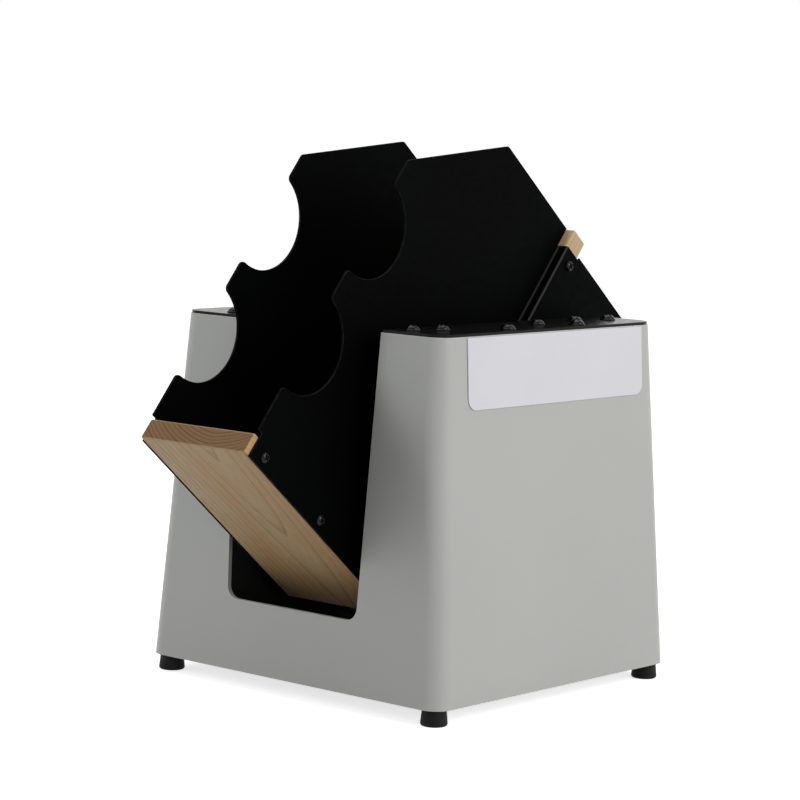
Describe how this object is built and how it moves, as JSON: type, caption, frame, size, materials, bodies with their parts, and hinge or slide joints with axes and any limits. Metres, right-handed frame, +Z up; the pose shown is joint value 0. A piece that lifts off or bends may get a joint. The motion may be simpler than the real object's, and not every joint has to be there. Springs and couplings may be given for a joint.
{
  "type": "paper jogger",
  "caption": "Electromagnetic paper jogger: a tilted V-shaped bin of wooden boards and scalloped black sheet sides, shaking on slat springs in a tapered grey casing on rubber feet.",
  "frame": {"origin": "middle of the footprint, on the plane the feet stand on", "axes": "+X to the right along the label face, -Y front (label side), +Z up"},
  "size_m": [0.4203, 0.2914, 0.3913],
  "materials": {
    "casing_plastic": "light warm grey moulded plastic, satin",
    "black_sheet": "black powder-coated sheet steel, satin",
    "base_iron": "dark grey painted iron",
    "foot_rubber": "black moulded rubber",
    "plated_screws": "bright zinc-plated steel",
    "black_screws": "black oxide steel",
    "label_white": "white satin plastic, bare",
    "maple": "clear-lacquered light hardwood",
    "slat_fibre": "amber glass-fibre laminate",
    "plated_steel": "zinc-plated steel",
    "core_steel": "laminated electrical steel",
    "coil_winding": "varnished copper winding",
    "black_plastic": "black moulded plastic, matte",
    "board_green": "green circuit board"
  },
  "bodies": {
    "base": {"casing": "casing_plastic", "base_plate": "base_iron", "foot_front_left": "foot_rubber", "foot_front_right": "foot_rubber", "foot_rear_left": "foot_rubber", "foot_rear_right": "foot_rubber", "foot_screws": "plated_screws", "front_inner_wall": "black_sheet", "rear_inner_wall": "black_sheet", "wall_screws": "plated_screws", "front_deck": "black_sheet", "rear_deck": "black_sheet", "front_deck_screws": "black_screws", "rear_deck_screws": "black_screws", "label_plate": "label_white", "left_lower_block": "base_iron", "right_lower_block": "base_iron", "left_lower_clamp": "plated_steel", "right_lower_clamp": "plated_steel", "lower_clamp_bolts": "plated_screws", "base_bolts": "plated_screws", "magnet_core": "core_steel", "magnet_coil": "coil_winding", "magnet_bracket": "plated_steel", "magnet_bolts": "plated_screws", "speed_control": "plated_steel", "control_nuts": "plated_screws", "switch_housing": "black_plastic", "cord_gland": "black_plastic", "control_board": "board_green", "board_standoffs": "black_plastic"},
    "bin": {"floor_board": "maple", "back_board": "maple", "front_panel": "black_sheet", "rear_panel": "black_sheet", "floor_board_screws": "black_screws", "back_board_screws": "black_screws", "cradle": "plated_steel", "cradle_bolts": "plated_screws", "block_bolts": "plated_screws", "left_upper_block": "base_iron", "right_upper_block": "base_iron", "left_upper_clamp": "plated_steel", "right_upper_clamp": "plated_steel", "upper_clamp_bolts": "plated_screws", "armature_hanger": "plated_steel", "armature": "core_steel", "armature_screws": "plated_screws"},
    "left_slats": {"left_front_slat": "slat_fibre", "left_rear_slat": "slat_fibre"},
    "right_slats": {"right_front_slat": "slat_fibre", "right_rear_slat": "slat_fibre"},
    "knob": {"speed_knob": "black_plastic"},
    "rocker": {"power_rocker": "black_plastic"}
  },
  "joints": [
    {"name": "bin_shake", "type": "slide", "parent": "base", "child": "bin", "axis": [0.9063, 0, 0.4226], "range_m": [-0.001, 0.001], "stiffness_N_per_m": 60000},
    {"name": "left_slats_flex", "type": "hinge", "parent": "base", "child": "left_slats", "pos_m": [-0.016, 0, 0.0365], "axis": [0, 1, 0], "range_deg": [-1, 1]},
    {"name": "right_slats_flex", "type": "hinge", "parent": "base", "child": "right_slats", "pos_m": [0.098, 0, 0.0365], "axis": [0, 1, 0], "range_deg": [-1, 1]},
    {"name": "speed_knob_turn", "type": "hinge", "parent": "base", "child": "knob", "pos_m": [-0.038, 0.12967, 0.15], "axis": [0, -0.9979, -0.0645], "range_deg": [0, 270]},
    {"name": "power_rocker_tilt", "type": "hinge", "parent": "base", "child": "rocker", "pos_m": [0.022, 0.12718, 0.14984], "axis": [1, 0, 0], "range_deg": [0, 20]}
  ],
  "couplings": [
    {"joint": "left_slats_flex", "follows": "bin_shake", "rad_per_m": 16.129},
    {"joint": "right_slats_flex", "follows": "bin_shake", "rad_per_m": 16.129}
  ]
}
